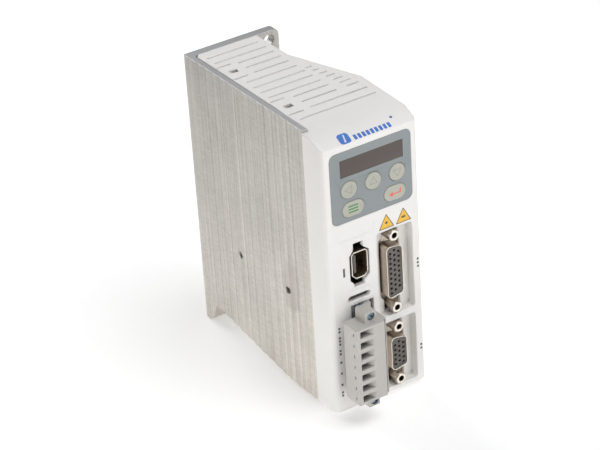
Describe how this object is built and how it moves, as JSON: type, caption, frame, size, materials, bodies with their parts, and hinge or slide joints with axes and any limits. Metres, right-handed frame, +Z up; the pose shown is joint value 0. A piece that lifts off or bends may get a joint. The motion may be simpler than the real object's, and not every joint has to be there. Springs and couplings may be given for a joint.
{
  "type": "servo drive",
  "caption": "Slim panel-mount servo drive with a ribbed L-section heatsink, clip-on cover, keypad with display, three signal sockets and a pluggable terminal.",
  "frame": {"origin": "centre of the rear mounting face of the back plate", "axes": "+Y out of the mounting face into the wall, -Y out of the front panel, +Z up, +X to the right seen from the front"},
  "size_m": [0.0448, 0.1128, 0.126],
  "materials": {
    "aluminium": "extruded, satin, fine die lines",
    "white_plastic": "moulded, fine satin texture",
    "overlay_grey": "printed film, satin",
    "smoked_window": "smoked, satin gloss",
    "key_cream": "satin",
    "black_plastic": "moulded",
    "dark_grey_plastic": "moulded",
    "terminal_grey": "moulded, satin",
    "cream_plastic": "moulded",
    "nickel": "nickel plate, satin",
    "zinc_steel": "zinc plate",
    "blued_steel": "blue-passivated zinc",
    "brass": "turned",
    "gold_contact": "gold flash",
    "pcb": "solder mask",
    "silicone_pad": "matte",
    "cap_sleeve": "sleeve",
    "copper_wire": "enamelled copper",
    "ceramic": "glazed"
  },
  "bodies": {
    "chassis": {"heatsink_chassis": "aluminium", "front_cover": "white_plastic", "label_overlay": "overlay_grey", "display_window": "smoked_window", "tact_switches": "black_plastic", "display_pcb": "pcb", "display_module": "black_plastic", "display_screws": "zinc_steel", "display_connector": "cream_plastic", "control_pcb": "pcb", "control_chips": "black_plastic", "power_pcb": "pcb", "terminal_board": "pcb", "board_header": "black_plastic", "cn1_shell": "nickel", "cn1_insulator": "dark_grey_plastic", "cn1_contacts": "gold_contact", "cn1_jackscrews": "nickel", "cn2_shell": "nickel", "cn2_insulator": "dark_grey_plastic", "cn2_contacts": "gold_contact", "cn2_jackscrews": "nickel", "cn3_shell": "nickel", "cn3_insulator": "black_plastic", "cn3_tongue": "dark_grey_plastic", "cn3_contacts": "gold_contact", "terminal_header": "terminal_grey", "header_pins": "zinc_steel", "flange_nuts": "brass", "capacitors": "cap_sleeve", "power_transistors": "black_plastic", "thermal_pad": "silicone_pad", "clamp_bar": "zinc_steel", "clamp_screws": "zinc_steel", "standoffs": "brass", "board_spacers": "brass", "board_screws": "zinc_steel", "transformer": "cream_plastic", "relay": "black_plastic", "inductor": "copper_wire", "fuse": "ceramic", "current_shunts": "copper_wire", "latch_brackets": "zinc_steel"},
    "key_left": {"key_left": "key_cream", "plunger_left": "black_plastic"},
    "key_up": {"key_up": "key_cream", "plunger_up": "black_plastic"},
    "key_down": {"key_down": "key_cream", "plunger_down": "black_plastic"},
    "key_mode": {"key_mode": "key_cream", "plunger_mode": "black_plastic"},
    "key_enter": {"key_enter": "key_cream", "plunger_enter": "black_plastic"},
    "plug": {"plug_body": "terminal_grey", "plug_clamps": "zinc_steel"},
    "screw_top": {"plug_screw_top": "blued_steel"},
    "screw_bottom": {"plug_screw_bottom": "blued_steel"}
  },
  "joints": [
    {"name": "key_left_press", "type": "slide", "parent": "chassis", "child": "key_left", "axis": [0, 1, 0], "range_m": [0, 0.00035], "stiffness_N_per_m": 1500, "springref_m": -0.0001},
    {"name": "key_up_press", "type": "slide", "parent": "chassis", "child": "key_up", "axis": [0, 1, 0], "range_m": [0, 0.00035], "stiffness_N_per_m": 1500, "springref_m": -0.0001},
    {"name": "key_down_press", "type": "slide", "parent": "chassis", "child": "key_down", "axis": [0, 1, 0], "range_m": [0, 0.00035], "stiffness_N_per_m": 1500, "springref_m": -0.0001},
    {"name": "key_mode_press", "type": "slide", "parent": "chassis", "child": "key_mode", "axis": [0, 1, 0], "range_m": [0, 0.00035], "stiffness_N_per_m": 1500, "springref_m": -0.0001},
    {"name": "key_enter_press", "type": "slide", "parent": "chassis", "child": "key_enter", "axis": [0, 1, 0], "range_m": [0, 0.00035], "stiffness_N_per_m": 1500, "springref_m": -0.0001},
    {"name": "plug_pull", "type": "slide", "parent": "chassis", "child": "plug", "axis": [0, -1, 0], "range_m": [0, 0.013]},
    {"name": "screw_top_turn", "type": "hinge", "parent": "plug", "child": "screw_top", "pos_m": [-0.009, -0.108, -0.0149], "axis": [0, -1, 0], "continuous": true},
    {"name": "screw_bottom_turn", "type": "hinge", "parent": "plug", "child": "screw_bottom", "pos_m": [-0.009, -0.108, -0.0546], "axis": [0, -1, 0], "continuous": true}
  ]
}
